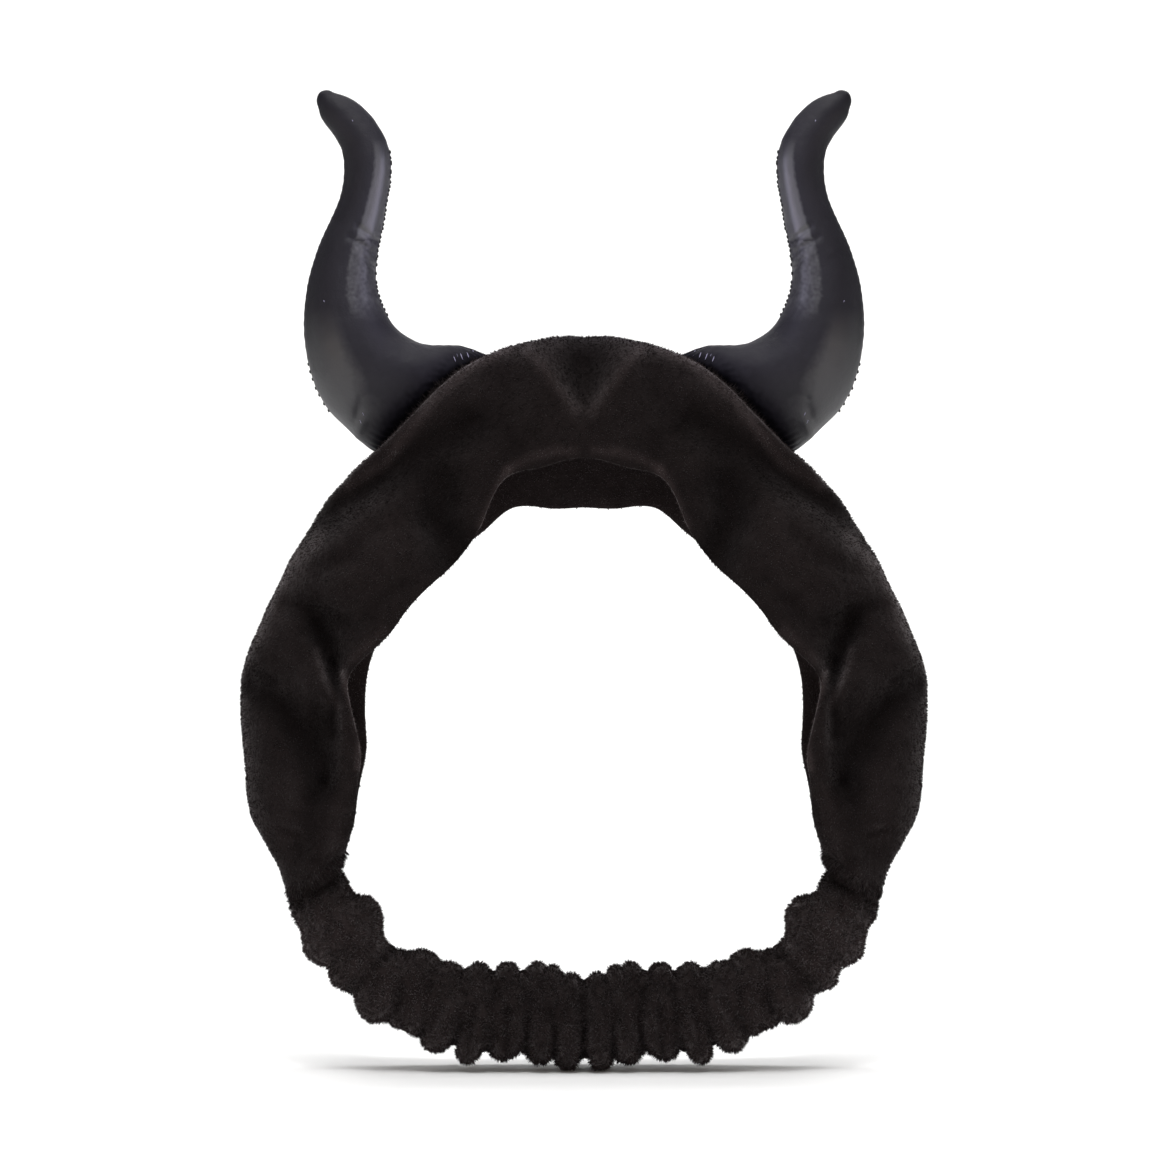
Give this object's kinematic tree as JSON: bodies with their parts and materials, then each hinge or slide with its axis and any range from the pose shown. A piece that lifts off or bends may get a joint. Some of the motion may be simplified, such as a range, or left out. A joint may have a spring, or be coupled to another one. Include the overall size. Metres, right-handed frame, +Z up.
{
  "type": "horned headband",
  "caption": "Wide plush headband, cupped over the head, with stuffed curved horns standing on it and an elasticated, gathered back.",
  "frame": {"origin": "inner face of the band at the top of the loop, in the middle, where the crown of the wearer's head meets it", "axes": "+Z up the way it is worn, from the gathered back towards the horns' tips; -Y out of the front, towards the viewer of the picture; +X to the viewer's right; the object is mirrored about X = 0"},
  "size_m": [0.1874, 0.0505, 0.264],
  "materials": {
    "black_plush": "short dense pile, matte with a faint sheen at grazing angles",
    "black_coated_satin": "smooth coated satin, soft satin gloss",
    "black_elastic": "flat woven elastic, matte"
  },
  "bodies": {
    "root": {"band": "black_plush", "gathered_back": "black_plush", "elastic": "black_elastic", "horn_left": "black_coated_satin", "horn_right": "black_coated_satin"}
  },
  "joints": []
}
